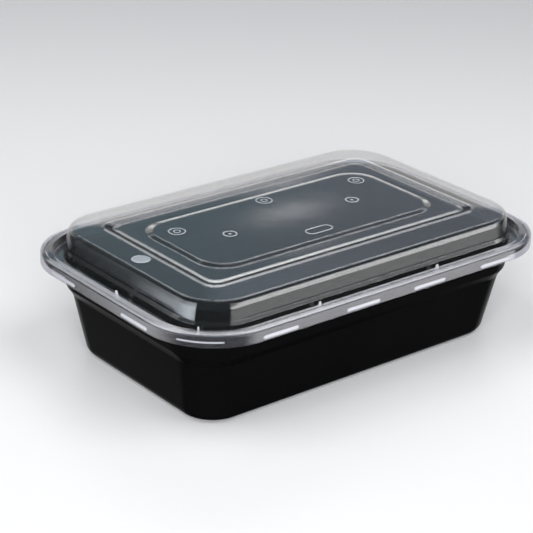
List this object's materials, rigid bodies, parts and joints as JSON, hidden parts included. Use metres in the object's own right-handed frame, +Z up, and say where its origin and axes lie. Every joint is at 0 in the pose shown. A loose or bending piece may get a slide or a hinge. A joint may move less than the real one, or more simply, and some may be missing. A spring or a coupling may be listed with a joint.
{
  "type": "takeaway meal container",
  "caption": "Rectangular black plastic meal tray with tapered walls and a clear domed lid pressed on its rim, empty.",
  "frame": {"origin": "middle of the tray's flat underside", "axes": "+X along the long side, +Y along the short side, +Z up through the lid"},
  "size_m": [0.224, 0.148, 0.0655],
  "materials": {
    "tray_plastic": "satin black polypropylene",
    "lid_plastic": "clear polypropylene with a slight haze"
  },
  "bodies": {
    "root": {"tray": "tray_plastic", "lid": "lid_plastic"}
  },
  "joints": []
}
